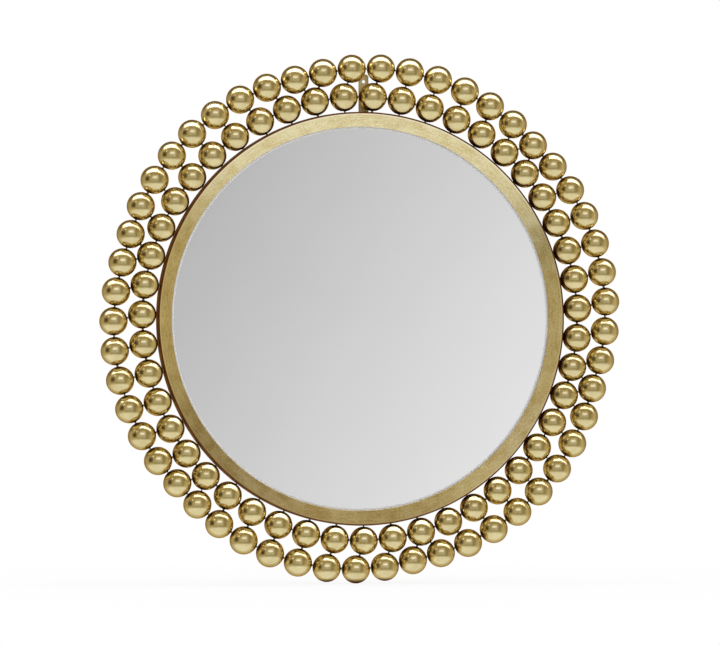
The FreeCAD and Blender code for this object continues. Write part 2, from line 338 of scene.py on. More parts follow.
# %% Silvered glass
def silvered_glass(name, smoothest, roughest, metallic):
    material, tree, bsdf, place = new_material(name, Metallic=metallic, Roughness=smoothest)
    marks = add(tree, "ShaderNodeTexNoise", {"Vector": place, "Scale": per_metre(120), "Detail": 2.0})
    colour = add(
        tree, "ShaderNodeMix", {0: marks, 6: linear("#F5F6F5"), 7: linear("#FAFBFA")}, data_type="RGBA"
    )
    tree.links.new(colour.outputs[2], bsdf.inputs["Base Color"])
    rough = add(tree, "ShaderNodeMapRange", {"Value": marks, "To Min": smoothest, "To Max": roughest})
    tree.links.new(rough.outputs[0], bsdf.inputs["Roughness"])
    return material, bsdf


def ground_bevel_painted_glow():
    material, bsdf = silvered_glass("ground_bevel_painted_glow", smoothest=0.40, roughest=0.50, metallic=0.12)
    # A painted glow: the bevel gives off a faint bluish light of its own.
    bsdf.inputs["Emission Color"].default_value = linear("#DDE6FF")
    bsdf.inputs["Emission Strength"].default_value = 0.15
    return material

# %% [markdown]
# The back of the mirror is plain work: raw fibreboard, zinc-plated steel buttons, dull steel rivets, grey
# felt and black rubber. One function serves them, because each is a base colour with a fine mottle, a
# wide cloudy change of tone, a roughness and a grain.


# %% Plain finishes for the back
def mottled(name, dark, light, metallic, roughness, grain_mm, bump_strength):
    material, tree, bsdf, place = new_material(name, Metallic=metallic, Roughness=roughness)
    grain = add(tree, "ShaderNodeTexNoise", {"Vector": place, "Scale": per_metre(grain_mm), "Detail": 6.0})
    cloud = add(tree, "ShaderNodeTexNoise", {"Vector": place, "Scale": per_metre(90), "Detail": 7.0})
    both = add(tree, "ShaderNodeMath", {0: grain, 1: cloud})
    tone = add(tree, "ShaderNodeMapRange", {"Value": both, "From Min": 0.45, "From Max": 1.55})
    colour = add(tree, "ShaderNodeMix", {0: tone, 6: linear(dark), 7: linear(light)}, data_type="RGBA")
    tree.links.new(colour.outputs[2], bsdf.inputs["Base Color"])
    bump = add(tree, "ShaderNodeBump", {"Height": grain, "Strength": bump_strength, "Distance": 0.1 * MM})
    tree.links.new(bump.outputs[0], bsdf.inputs["Normal"])
    return material


# %% [markdown]
# Each finish is made once and shared by its pieces. The rebate ring behind the band was never polished,
# so it is duller. The tab is painted a little paler than the rest, as painted light, because it sits in
# the shade behind the balls.

# %% Make every finish
ball_finish = polished_brass()
band_finish = band_brass()
hoop_finish = brass_painted_dark()
rebate_finish = brushed_brass(
    "dull_brass", "#B09A68", "#8D7A50", roughness=0.42, scratch_mm=1.0, bump_strength=0.4
)[0]
# Painted light: the tab's colours are paler, to make up for the shade behind the balls.
tab_painted_paler = brushed_brass(
    "satin_brass_painted_paler", "#FBEFC6", "#E6D6A2", roughness=0.40, scratch_mm=0.9, bump_strength=0.4
)[0]
weld_finish = braze_metal()
glass_finish = silvered_glass("silvered_glass", smoothest=0.004, roughest=0.02, metallic=1.0)[0]
bevel_finish = ground_bevel_painted_glow()
board_finish = mottled(
    "raw_fibreboard", "#8F7150", "#C2A27A", metallic=0.0, roughness=0.85, grain_mm=1.6, bump_strength=0.5
)
zinc_finish = mottled(
    "zinc_plated_steel", "#A6A9A8", "#D2D3CE", metallic=1.0, roughness=0.30, grain_mm=2.5, bump_strength=0.2
)
rivet_finish = mottled(
    "dull_steel", "#747572", "#9C9C97", metallic=1.0, roughness=0.42, grain_mm=1.5, bump_strength=0.3
)
rubber_finish = mottled(
    "black_rubber", "#1B1A19", "#2C2A28", metallic=0.0, roughness=0.75, grain_mm=0.8, bump_strength=0.4
)
felt_finish = mottled(
    "grey_felt", "#3A3A38", "#55544F", metallic=0.0, roughness=0.95, grain_mm=0.7, bump_strength=0.8
)
print("materials:", len(bpy.data.materials))

# %% [markdown]
# ## Spun pieces
#
# The band, the hoop, the rebate ring, the board and the glass are all figures of revolution. Each is
# drawn as a section, a list of (radius, depth, rounding) corners, and spun about the mirror's axis.
# Enough steps make the metal read as one smooth sweep, and only the corners of the section stay sharp.


# %% Round the corners of a section
def rounded(corners, steps=6):
    line = []
    count = len(corners)
    for i, (radius, depth, rounding) in enumerate(corners):
        point = Vector((radius, depth))
        if rounding == 0:
            line.append(point)
            continue
        back = (Vector(corners[i - 1][:2]) - point).normalized()
        ahead = (Vector(corners[(i + 1) % count][:2]) - point).normalized()
        half = back.angle(ahead) / 2
        middle = point + (back + ahead).normalized() * (rounding / math.sin(half))
        start = point + back * (rounding / math.tan(half)) - middle
        end = point + ahead * (rounding / math.tan(half)) - middle
        for k in range(steps + 1):
            part = start.lerp(end, k / steps).normalized() * rounding
            line.append(middle + part)
    return line


# %% [markdown]
# Smooth shading blends the direction of a face into the next one. On a wide flat run that blend would
# bend the reflections all the way across, so each long run gets two more points, half a millimetre from
# its ends.


# %% Hold the flats flat
FLAT_MARGIN = 0.5 * MM
LONG_RUN = 6 * FLAT_MARGIN


def held_flat(line):
    points = []
    for point, following in zip(line, line[1:] + line[:1]):
        points.append(point)
        run = following - point
        if run.length > LONG_RUN:
            step = run.normalized() * FLAT_MARGIN
            points += [point + step, following - step]
    return points


# %% [markdown]
# Spinning copies the section round the axis and joins each copy to the next with four-sided faces. On the
# axis itself all copies of a point meet, so they are merged. The ball and the bead further down are built
# from rings of points too, so joining rings and turning a shape into an object have a function each.

# %% Spin a section
SPIN_STEPS = 288
SOFT_CORNER = math.radians(32)
GROUND_CORNER = math.radians(4)
SAME_PLACE = 1e-7


def join_rings(shape, rings):
    for near, far in zip(rings, rings[1:]):
        for k in range(len(near)):
            following = (k + 1) % len(near)
            shape.faces.new((near[k], near[following], far[following], far[k]))


def as_object(shape, name):
    mesh = bpy.data.meshes.new(name)
    shape.to_mesh(mesh)
    shape.free()
    made = bpy.data.objects.new(name, mesh)
    scene.collection.objects.link(made)
    print(name, "faces:", len(mesh.polygons))
    return made


def spun(name, corners, finish, sharp_from=SOFT_CORNER):
    line = held_flat(rounded(corners))
    shape = bmesh.new()
    rings = []
    for k in range(SPIN_STEPS):
        turn = 2 * math.pi * k / SPIN_STEPS
        rings.append([shape.verts.new((p.x * math.sin(turn), p.y, p.x * math.cos(turn))) for p in line])
    join_rings(shape, rings + rings[:1])
    bmesh.ops.remove_doubles(shape, verts=shape.verts, dist=SAME_PLACE)
    bmesh.ops.recalc_face_normals(shape, faces=shape.faces)
    for face in shape.faces:
        face.smooth = True
    for edge in shape.edges:
        edge.smooth = edge.calc_face_angle(0.0) < sharp_from
    piece = as_object(shape, name)
    piece.data.materials.append(finish)
    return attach(piece, "frame")

# %% [markdown]
# The face band slopes back from the hoop to the sight edge, like the rim of a shallow dish, so its lower
# part faces up and its upper part faces down. Its outer edge is rolled over to a small round, which
# catches a thin bright line all round, helped by a painted highlight on the lip. The hoop behind it is
# painted darker, as painted shade.

# %% The face band and the hoop
SIGHT_ROUNDING = 0.4 * MM
LIP_ROUNDING = 1.5 * MM
CUT_ROUNDING = 0.3 * MM
band_slope = DISH_DEPTH / BAND_WIDTH
band_through = BAND_SHEET * math.hypot(1.0, band_slope)
hoop_inside = hoop_radius - HOOP_WALL
hoop_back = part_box("side_hoop")[1].y


def band_front(radius):
    return -band_slope * (radius - sight_radius)


def band_back(radius):
    return band_front(radius) + band_through


face_band = spun(
    "brushed_face_band",
    [
        (sight_radius, band_front(sight_radius), SIGHT_ROUNDING),
        (hoop_radius, band_front(hoop_radius), LIP_ROUNDING),
        (hoop_radius, band_back(hoop_inside), 0),
        (hoop_inside, band_back(hoop_inside), 0),
        (sight_radius, band_back(sight_radius), 0),
    ],
    band_finish,
)
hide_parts("face_band")

side_hoop = spun(
    "bronzed_side_hoop",
    [
        (hoop_radius, band_back(hoop_inside), 0),
        (hoop_radius, hoop_back, CUT_ROUNDING),
        (hoop_inside, hoop_back, CUT_ROUNDING),
        (hoop_inside, band_back(hoop_inside), 0),
    ],
    hoop_finish,
)
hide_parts("side_hoop")

# %% [markdown]
# The glass is a flat disc with a narrow bevel ground round its edge. Only the first three millimetres of
# the bevel show inside the band, as a thin bright line. The corner where the bevel starts turns by only
# nine degrees, and it has to stay sharp: smoothed over, it would bend the flat face into a bulging
# mirror.

# %% The glass
BEVEL_WIDTH = 7.5 * MM
BEVEL_DROP = 1.2 * MM
GLASS_COVER = 4.5 * MM  # how far the band hides the edge of the glass
GROUND_ROUNDING = 0.3 * MM
FACE_ON = -0.999  # a normal's Y: the flat front is below this, the bevel above
EDGE_ON = -0.9
glass_low, glass_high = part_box("mirror_glass")
glass_radius = sight_radius + GLASS_COVER
glass = spun(
    "bevelled_mirror_glass",
    [
        (0, glass_low.y, 0),
        (glass_radius - BEVEL_WIDTH, glass_low.y, 0),
        (glass_radius, glass_low.y + BEVEL_DROP, GROUND_ROUNDING),
        (glass_radius, glass_high.y, GROUND_ROUNDING),
        (0, glass_high.y, 0),
    ],
    glass_finish,
    GROUND_CORNER,
)
for face in glass.data.polygons:
    on_bevel = FACE_ON < face.normal.y < EDGE_ON
    face.material_index = int(on_bevel)
glass.data.materials.append(bevel_finish)
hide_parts("mirror_glass")

# %% [markdown]
# Behind the glass, a bent ring makes a rebate: a thin land under the band, a wall round the glass and a
# flange that carries the turn buttons. The board closes the back, its cut edge eased with a sanding
# block.

# %% The rebate ring and the board
LAND_SETBACK = 1.0 * MM
LAND_SHEET = 0.8 * MM
GLASS_PLAY = 1.0 * MM
REBATE_SHEET = 1.5 * MM
BENT_ROUNDING = 0.4 * MM
SANDED_ROUNDING = 0.6 * MM
rebate_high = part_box("rebate_ring")[1]
land_radius = sight_radius + LAND_SETBACK
land_back = band_through + LAND_SHEET
rebate_inside = glass_radius + GLASS_PLAY
rebate_outside = rebate_inside + REBATE_SHEET
flange_front = rebate_high.y - REBATE_SHEET
rebate = spun(
    "bent_rebate_ring",
    [
        (land_radius, band_back(land_radius), 0),
        (rebate_outside, band_back(rebate_outside), 0),
        (rebate_outside, flange_front, 0),
        (hoop_inside, flange_front, 0),
        (hoop_inside, rebate_high.y, 0),
        (rebate_inside, rebate_high.y, BENT_ROUNDING),
        (rebate_inside, land_back, 0),
        (land_radius, land_back, 0),
    ],
    rebate_finish,
)
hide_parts("rebate_ring")

board_low, board_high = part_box("backing_board")
board = spun(
    "fibre_backing_board",
    [
        (0, board_low.y, 0),
        (glass_radius, board_low.y, 0),
        (glass_radius, board_high.y, SANDED_ROUNDING),
        (0, board_high.y, 0),
    ],
    board_finish,
)
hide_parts("backing_board")

# %% [markdown]
# ## The balls
#
# A hundred equal balls follow one rule, so Geometry Nodes place them. A maker would set the inner ring on
# the hoop first, at even steps. Each outer ball then rolls in until it touches the inner ring, so its
# distance from the middle depends on how far it stands from the nearest inner ball. The tree below says
# just that.
#
# First comes one ball, which the tree repeats. It is a spun shell like a real pressed ball, with the
# small vent hole at its back that lets hot gas out while it is brazed.


# %% One pressed ball
BALL_ROWS = 24
BALL_SIDES = 44
VENT_TAPER = 0.98
VENT_CORNER = math.radians(60)


def pressed_ball():
    first = math.asin(VENT_RADIUS / BALL_RADIUS)
    section = [(VENT_RADIUS * VENT_TAPER, BALL_RADIUS - BALL_WALL)]
    for k in range(BALL_ROWS):
        angle = first + (math.pi - first) * k / BALL_ROWS
        section.append((BALL_RADIUS * math.sin(angle), BALL_RADIUS * math.cos(angle)))
    shape = bmesh.new()
    rows = []
    for radius, depth in section:
        row = []
        for k in range(BALL_SIDES):
            turn = 2 * math.pi * k / BALL_SIDES
            row.append(shape.verts.new((radius * math.sin(turn), depth, radius * math.cos(turn))))
        rows.append(row)
    front_pole = shape.verts.new((0, -BALL_RADIUS, 0))
    join_rings(shape, rows)
    for k in range(BALL_SIDES):
        shape.faces.new((rows[-1][k], rows[-1][(k + 1) % BALL_SIDES], front_pole))
    shape.faces.new(rows[0])
    bmesh.ops.recalc_face_normals(shape, faces=shape.faces)
    for face in shape.faces:
        face.smooth = len(face.verts) < BALL_SIDES
    for edge in shape.edges:
        edge.smooth = edge.calc_face_angle(0.0) < VENT_CORNER
    return as_object(shape, "pressed_ball")

# %% [markdown]
# Every tree here starts from the same sizes, so one function opens a tree and gives it named inputs.

# %% Open a tree
TREE_INPUTS = {
    "Ring radius": "Float",
    "Touching distance": "Float",
    "First bearing": "Float",
    "Bearing step": "Float",
    "Inner first": "Float",
    "Inner step": "Float",
    "Count": "Int",
    "First number": "Int",
    "Shape": "Object",
    "Finish": "Material",
}


def new_tree(name, **extra):
    tree = bpy.data.node_groups.new(name, "GeometryNodeTree")
    for label, kind in {**TREE_INPUTS, **extra}.items():
        label = label.replace("_", " ")
        tree.interface.new_socket(label, in_out="INPUT", socket_type="NodeSocket" + kind)
    tree.interface.new_socket("Mesh", in_out="OUTPUT", socket_type="NodeSocketGeometry")
    return tree, add(tree, "NodeGroupInput").outputs


# %% [markdown]
# A ball's number gives its bearing, which grows by a fixed step. The distance from the middle is the
# inner ring's radius times the cosine of the angle to the nearest inner ball, plus what is left of the
# touching distance once the sideways part is taken out. With a touching distance of zero, the same rule
# gives the inner ring itself.


# %% Place a ball by its number
def facing(tree, number, first, step):
    bearing = add(tree, "ShaderNodeMath", {0: number, 1: step, 2: first}, operation="MULTIPLY_ADD")
    right = add(tree, "ShaderNodeMath", {0: bearing}, operation="SINE")
    up = add(tree, "ShaderNodeMath", {0: bearing}, operation="COSINE")
    return bearing, add(tree, "ShaderNodeCombineXYZ", {"X": right, "Z": up})


def ball_place(tree, given, number):
    bearing, direction = facing(tree, number, given["First bearing"], given["Bearing step"])
    from_first = add(tree, "ShaderNodeMath", {0: bearing, 1: given["Inner first"]}, operation="SUBTRACT")
    past = add(tree, "ShaderNodeMath", {0: from_first, 1: given["Inner step"]}, operation="FLOORED_MODULO")
    short = add(tree, "ShaderNodeMath", {0: given["Inner step"], 1: past}, operation="SUBTRACT")
    aside = add(tree, "ShaderNodeMath", {0: past, 1: short}, operation="MINIMUM")
    sine = add(tree, "ShaderNodeMath", {0: aside}, operation="SINE")
    across = add(tree, "ShaderNodeMath", {0: sine, 1: given["Ring radius"]}, operation="MULTIPLY")
    across2 = add(tree, "ShaderNodeMath", {0: across, 1: 2.0}, operation="POWER")
    touch2 = add(tree, "ShaderNodeMath", {0: given["Touching distance"], 1: 2.0}, operation="POWER")
    left = add(tree, "ShaderNodeMath", {0: touch2, 1: across2}, operation="SUBTRACT")
    positive = add(tree, "ShaderNodeMath", {0: left, 1: 0.0}, operation="MAXIMUM")
    outward = add(tree, "ShaderNodeMath", {0: positive}, operation="SQRT")
    cosine = add(tree, "ShaderNodeMath", {0: aside}, operation="COSINE")
    radius = add(
        tree, "ShaderNodeMath", {0: cosine, 1: given["Ring radius"], 2: outward}, operation="MULTIPLY_ADD"
    )
    place = add(tree, "ShaderNodeVectorMath", {0: direction, "Scale": radius}, operation="SCALE")
    return place, direction, bearing

# %% [markdown]
# The ball tree lays a line of points, moves each to its place, and puts a ball there. It ends by making
# the copies real and giving them their finish.


# %% The ball tree
def repeat_shape(tree, given, points, rotation=None, scale=None, chosen=None):
    shape = add(tree, "GeometryNodeObjectInfo", {"Object": given["Shape"]})
    placed = add(
        tree,
        "GeometryNodeInstanceOnPoints",
        {"Points": points, "Instance": shape.outputs["Geometry"]},
    )
    for key, value in (("Rotation", rotation), ("Scale", scale), ("Selection", chosen)):
        if value is not None:
            tree.links.new(value.outputs[0], placed.inputs[key])
    real = add(tree, "GeometryNodeRealizeInstances", {"Geometry": placed})
    done = add(tree, "GeometryNodeSetMaterial", {"Geometry": real, "Material": given["Finish"]})
    add(tree, "NodeGroupOutput", {0: done})


def numbered_points(tree, given):
    line = add(tree, "GeometryNodeMeshLine", {"Count": given["Count"]})
    index = add(tree, "GeometryNodeInputIndex")
    number = add(tree, "ShaderNodeMath", {0: index, 1: given["First number"]})
    return line, number


def ball_tree():
    tree, given = new_tree("ring_of_balls")
    line, number = numbered_points(tree, given)
    place, _, _ = ball_place(tree, given, number)
    points = add(tree, "GeometryNodeSetPosition", {"Geometry": line, "Position": place})
    repeat_shape(tree, given, points)
    return tree


# %% [markdown]
# A tree is only a rule until a modifier runs it. `grow` gives the modifier its inputs by the sockets'
# identifiers, takes the finished mesh, and leaves a plain object with no modifier.


# %% Run a tree and keep its mesh
def grow(name, tree, body="frame", **inputs):
    piece = bpy.data.objects.new(name, bpy.data.meshes.new(name))
    scene.collection.objects.link(piece)
    modifier = piece.modifiers.new("rule", "NODES")
    modifier.node_group = tree
    labels = {item.name: item.identifier for item in tree.interface.items_tree if item.in_out == "INPUT"}
    for label, value in inputs.items():
        modifier[labels[label.replace("_", " ")]] = value
    bpy.context.view_layer.update()
    evaluated = piece.evaluated_get(bpy.context.evaluated_depsgraph_get())
    mesh = bpy.data.meshes.new_from_object(evaluated)
    piece.modifiers.clear()
    piece.data = mesh
    mesh.name = name
    print(name, "triangles:", sum(len(face.vertices) - 2 for face in mesh.polygons))
    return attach(piece, body)


inner_rule = {
    "Ring_radius": ring_radius,
    "Touching_distance": 0.0,
    "First_bearing": INNER_START,
    "Bearing_step": inner_step,
    "Inner_first": INNER_START,
    "Inner_step": inner_step,
}
outer_rule = dict(
    inner_rule, Touching_distance=pitch, First_bearing=OUTER_START, Bearing_step=outer_step
)

# %% [markdown]
# The engineering model keeps the balls in six sectors per ring, so each sector is grown as one piece that
# stands for one of its nodes.


# %% Grow the balls, sector by sector
def sector_numbers(start, step, count, sector):
    width = 2 * math.pi / SECTORS
    return [k for k in range(count) if int((start + k * step) / width) % SECTORS == sector]


ball = pressed_ball()
balls = ball_tree()
for ring, rule, start, step, count in (
    ("inner", inner_rule, INNER_START, inner_step, INNER_COUNT),
    ("outer", outer_rule, OUTER_START, outer_step, OUTER_COUNT),
):
    for sector in range(SECTORS):
        numbers = sector_numbers(start, step, count, sector)
        piece = grow(
            f"polished_{ring}_balls_{sector + 1}",
            balls,
            Count=len(numbers),
            First_number=numbers[0],
            Shape=ball,
            Finish=ball_finish,
            **rule,
        )
        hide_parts(f"{ring}_balls_{sector + 1}")
bpy.data.objects.remove(ball)

# %% [markdown]
# ## Braze beads
#
# Where two balls nearly touch, a drop of braze metal bridges the gap. It wets both balls and draws in
# between them, so it is a small waisted neck. Only its waist shows, and no two are quite alike, so each
# copy is stretched a little by a seeded random amount.


# %% One bead
NECK_HALF_LENGTH = 1.9 * MM
NECK_WAIST = 1.35 * MM
NECK_FLARE = 1.1 * MM
NECK_SIDES = 12
NECK_ROWS = 6


def braze_neck():
    shape = bmesh.new()
    rings = []
    for i in range(NECK_ROWS + 1):
        along = -1 + 2 * i / NECK_ROWS
        radius = NECK_WAIST + NECK_FLARE * along**2
        height = along * NECK_HALF_LENGTH
        ring = []
        for k in range(NECK_SIDES):
            turn = 2 * math.pi * k / NECK_SIDES
            ring.append(shape.verts.new((radius * math.cos(turn), radius * math.sin(turn), height)))
        rings.append(ring)
    join_rings(shape, rings)
    shape.faces.new(rings[0])
    shape.faces.new(rings[-1])
    bmesh.ops.recalc_face_normals(shape, faces=shape.faces)
    for face in shape.faces:
        face.smooth = len(face.verts) == 4
    return as_object(shape, "braze_neck")

# %% [markdown]
# A bead sits halfway between two points and lies along the line that joins them. That line is captured on
# the points, so that each copy can turn to it. A seeded random value stretches every copy differently.


# %% Put a bead between two points
LEAST_STRETCH = (0.75, 0.75, 0.95)
MOST_STRETCH = (1.2, 1.2, 1.1)


def bead_between(tree, given, line, one, other, chosen=None):
    middle = add(tree, "ShaderNodeVectorMath", {0: one, 1: other})
    middle = add(tree, "ShaderNodeVectorMath", {0: middle, "Scale": 0.5}, operation="SCALE")
    along = add(tree, "ShaderNodeVectorMath", {0: other, 1: one}, operation="SUBTRACT")
    points = add(tree, "GeometryNodeSetPosition", {"Geometry": line, "Position": middle})
    kept = add(tree, "GeometryNodeCaptureAttribute")
    kept.capture_items.new("VECTOR", "along")
    tree.links.new(points.outputs[0], kept.inputs["Geometry"])
    tree.links.new(along.outputs[0], kept.inputs["along"])
    aim = add(tree, "FunctionNodeAlignRotationToVector", {"Vector": kept.outputs["along"]}, axis="Z")
    size = add(
        tree,
        "FunctionNodeRandomValue",
        {0: LEAST_STRETCH, 1: MOST_STRETCH, "Seed": given["Seed"]},
        data_type="FLOAT_VECTOR",
    )
    repeat_shape(tree, given, kept, aim, size, chosen)


# %% [markdown]
# Three trees place the beads. The first joins each ball to the next of its own ring. The second joins
# each inner ball to the hoop.


# %% Beads along a ring, and on the hoop
def neighbour_tree():
    tree, given = new_tree("beads_along_a_ring", Seed="Int")
    line, number = numbered_points(tree, given)
    following = add(tree, "ShaderNodeMath", {0: number, 1: 1.0})
    one, _, _ = ball_place(tree, given, number)
    other, _, _ = ball_place(tree, given, following)
    bead_between(tree, given, line, one, other)
    return tree


def hoop_tree():
    tree, given = new_tree("beads_on_the_hoop", Seed="Int", Hoop_radius="Float")
    line, number = numbered_points(tree, given)
    _, direction, _ = ball_place(tree, given, number)
    inward = given["Hoop radius"]
    foot = add(tree, "ShaderNodeVectorMath", {0: direction, "Scale": inward}, operation="SCALE")
    touch = add(tree, "ShaderNodeMath", {0: given["Ring radius"], 1: BALL_RADIUS}, operation="SUBTRACT")
    top = add(tree, "ShaderNodeVectorMath", {0: direction, "Scale": touch}, operation="SCALE")
    bead_between(tree, given, line, foot, top)
    return tree


# %% [markdown]
# The third tree joins each outer ball to the inner ball just before it, or just after it where Side is 1.
# Not every pair is near enough for a drop of braze, so a pair gets one only where its gap is small.


# %% Beads across the two rings
BRIDGED_GAP_MOST = 2.6 * MM


def cross_tree():
    tree, given = new_tree("beads_across_the_rings", Seed="Int", Side="Int")
    line, number = numbered_points(tree, given)
    outer_place, _, bearing = ball_place(tree, given, number)
    past = add(tree, "ShaderNodeMath", {0: bearing, 1: given["Inner first"]}, operation="SUBTRACT")
    steps = add(tree, "ShaderNodeMath", {0: past, 1: given["Inner step"]}, operation="DIVIDE")
    before = add(tree, "ShaderNodeMath", {0: steps}, operation="FLOOR")
    inner_number = add(tree, "ShaderNodeMath", {0: before, 1: given["Side"]})
    _, direction = facing(tree, inner_number, given["Inner first"], given["Inner step"])
    inner_place = add(
        tree, "ShaderNodeVectorMath", {0: direction, "Scale": given["Ring radius"]}, operation="SCALE"
    )
    apart = add(tree, "ShaderNodeVectorMath", {0: outer_place, 1: inner_place}, operation="DISTANCE")
    reach = 2 * BALL_RADIUS + BRIDGED_GAP_MOST
    near = add(tree, "FunctionNodeCompare", {0: apart.outputs["Value"], 1: reach}, operation="LESS_THAN")
    bead_between(tree, given, line, inner_place, outer_place, near)
    return tree


# %% [markdown]
# Each run has its own seed, so no two rows of beads repeat one another. The beads across the rings are
# grown twice, once for each side, and the first of the two pieces stands for the engineering model's
# node.

# %% Grow the beads
neck = braze_neck()
along_ring = neighbour_tree()
on_hoop = hoop_tree()
across = cross_tree()
common = {"First_number": 0, "Shape": neck, "Finish": weld_finish}
bead_pieces = {
    "inner_ring_welds": grow(
        "inner_braze_beads", along_ring, Count=INNER_COUNT, Seed=1, **common, **inner_rule
    ),
    "outer_ring_welds": grow(
        "outer_braze_beads", along_ring, Count=OUTER_COUNT, Seed=2, **common, **outer_rule
    ),
    "hoop_welds": grow(
        "hoop_braze_beads",
        on_hoop,
        Count=INNER_COUNT,
        Seed=3,
        Hoop_radius=hoop_radius,
        **common,
        **inner_rule,
    ),
    "cross_welds": grow(
        "cross_braze_beads_before", across, Count=OUTER_COUNT, Seed=4, Side=0, **common, **outer_rule
    ),
}
after = grow("cross_braze_beads_after", across, Count=OUTER_COUNT, Seed=5, Side=1, **common, **outer_rule)
for node, piece in bead_pieces.items():
    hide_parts(node)
bpy.data.objects.remove(neck)

# %% [markdown]
# ## Pieces kept from the frame
#
# The tab, the turn buttons, the rivets and the small rubber and felt pieces already have their true
# shape, so they stay as they are and only get their finish.

# %% Finishes for the kept pieces
BUTTON_COUNT = 6
kept_finishes = {
    "hanging_tab": tab_painted_paler,
    "tab_welds": weld_finish,
    "button_rivets": rivet_finish,
    "button_washers": rivet_finish,
    "glass_gasket": rubber_finish,
    "setting_blocks": rubber_finish,
    "wall_pads": rubber_finish,
    "backing_felt": felt_finish,
}
for number in range(BUTTON_COUNT):
    kept_finishes[f"turn_button_{number + 1}"] = zinc_finish
for node, finish in kept_finishes.items():
    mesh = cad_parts[node].data
    mesh.materials.clear()
    mesh.materials.append(finish)
print("kept from the frame:", ", ".join(sorted(kept_finishes)))

# %% [markdown]
# ## Camera
#
# The picture looks as if it was taken from ten metres with a very long lens, a little from the left and
# almost level. The numbers below were found by fitting the ring of inner balls to its outline in the
# picture.

# %% The camera
AZIMUTH = math.radians(-11.32)
ELEVATION = math.radians(0.435)
ROLL = math.radians(-0.084)
DISTANCE = 10.186
LENS_MM = 379.6
SENSOR_MM = 36.0
AIM = Vector((-0.0014, 0.0, -0.0050))

sight_line = Vector(
    (
        math.sin(AZIMUTH) * math.cos(ELEVATION),
        -math.cos(AZIMUTH) * math.cos(ELEVATION),
        math.sin(ELEVATION),
    )
)
camera_data = bpy.data.cameras.new("camera")
camera_data.lens = LENS_MM
camera_data.sensor_width = SENSOR_MM
camera = bpy.data.objects.new("camera", camera_data)
scene.collection.objects.link(camera)
aimed = sight_line.to_track_quat("Z", "Y").to_matrix().to_4x4()
standpoint = Matrix.Translation(AIM + sight_line * DISTANCE)
camera.matrix_world = standpoint @ aimed @ Matrix.Rotation(ROLL, 4, "Z")
scene.camera = camera
print("camera at, m:", [round(v, 3) for v in camera.matrix_world.translation])

# %% [markdown]
# ## Floor and studio
#
# Polished balls are portraits of the room. A point at a distance r from a ball's middle, with the ball's
# radius as 1, shows what lies 2 asin(r) away from the camera. Reading the balls in the picture that way
# tells the room: a pale floor below, dim walls along the horizon with a dark doorway on the left, a
# window straight ahead, and a white arch of light that stands over the mirror, square to the camera.
#
# The floor is a real piece, so that it can carry the mirror's shadow, and it fades to white for the
# camera. Metal and glass look past it to the floor that is painted on the world, which is as pale and
# reaches further.

# %% The floor
FLOOR_RADIUS = 1.7
WHITE = (1.0, 1.0, 1.0, 1.0)
floor_height = cad_low[2]
bpy.ops.mesh.primitive_circle_add(vertices=96, radius=FLOOR_RADIUS, fill_type="NGON")
floor = bpy.context.object
floor.name = "floor"
floor.location = (0, 0, floor_height)
floor_finish, tree, bsdf, place = new_material("matt_white_floor", Roughness=0.9)
bsdf.inputs["Base Color"].default_value = linear("#F0F0EE")
white = add(tree, "ShaderNodeEmission", {"Strength": 1.0})
ray = add(tree, "ShaderNodeLightPath")
far = add(tree, "ShaderNodeVectorMath", {0: place}, operation="LENGTH").outputs["Value"]
fade = add(tree, "ShaderNodeMapRange", {"Value": far, "From Min": 0.05, "From Max": 0.9, "To Min": 0.88})
direct = add(tree, "ShaderNodeMath", {0: fade, 1: ray.outputs["Is Camera Ray"]}, operation="MULTIPLY")
mixed = add(tree, "ShaderNodeMixShader", {0: direct, 1: bsdf, 2: white})
output = next(node for node in tree.nodes if node.bl_idname == "ShaderNodeOutputMaterial")
tree.links.new(mixed.outputs[0], output.inputs["Surface"])
floor.data.materials.append(floor_finish)
floor.visible_glossy = False
print("floor at, mm:", round(floor_height * MM_PER_METRE, 1))

# %% [markdown]
# The room itself is painted on the world, by direction. Each panel below is a patch of it: bearings grow
# from straight ahead of the mirror to the right, and heights from the horizon, all in degrees. The last
# number before the colour is how soft the edge is. Later panels lie over earlier ones.

# %% The room's panels
EVERY_WAY = (-400, 400)
PANELS = {
    "dark skirting": ((-50, 45), (-26, -13), 4, (0.25, 0.22, 0.14)),
    "pale floor": (EVERY_WAY, (-120, -25), 8, (0.84, 0.86, 0.92)),
    "dim ceiling": (EVERY_WAY, (44, 120), 6, (0.28, 0.22, 0.12)),
    "far wall": ((-34, 26), (-12, 14), 4, (0.46, 0.45, 0.41)),
    "right wall": ((30, 80), (14, 46), 8, (0.26, 0.21, 0.13)),
    "upper wall": ((-24, 24), (26, 40), 5, (0.60, 0.57, 0.45)),
    "left wall": ((-80, -30), (24, 48), 6, (0.34, 0.28, 0.17)),
    "window": ((-26, 14), (14, 27), 4, (1.25, 1.33, 1.85)),
    "doorway": ((-92, -54), (-8, 24), 7, (0.05, 0.04, 0.03)),
    "curtain": ((27, 50), (-14, 14), 6, (0.28, 0.24, 0.16)),
    "small lamp": ((-61, -54), (32, 38), 3, (2.8, 2.8, 2.8)),
}
WALL = (0.47, 0.40, 0.25, 1.0)
print("panels in the room:", len(PANELS))

# %% [markdown]
# A world has no surface to paint, so its colour is worked out from the direction of the view alone. That
# direction gives a bearing and a height in degrees, and how far it points towards the camera: 1 straight
# at it, 0 square to it and -1 straight away.

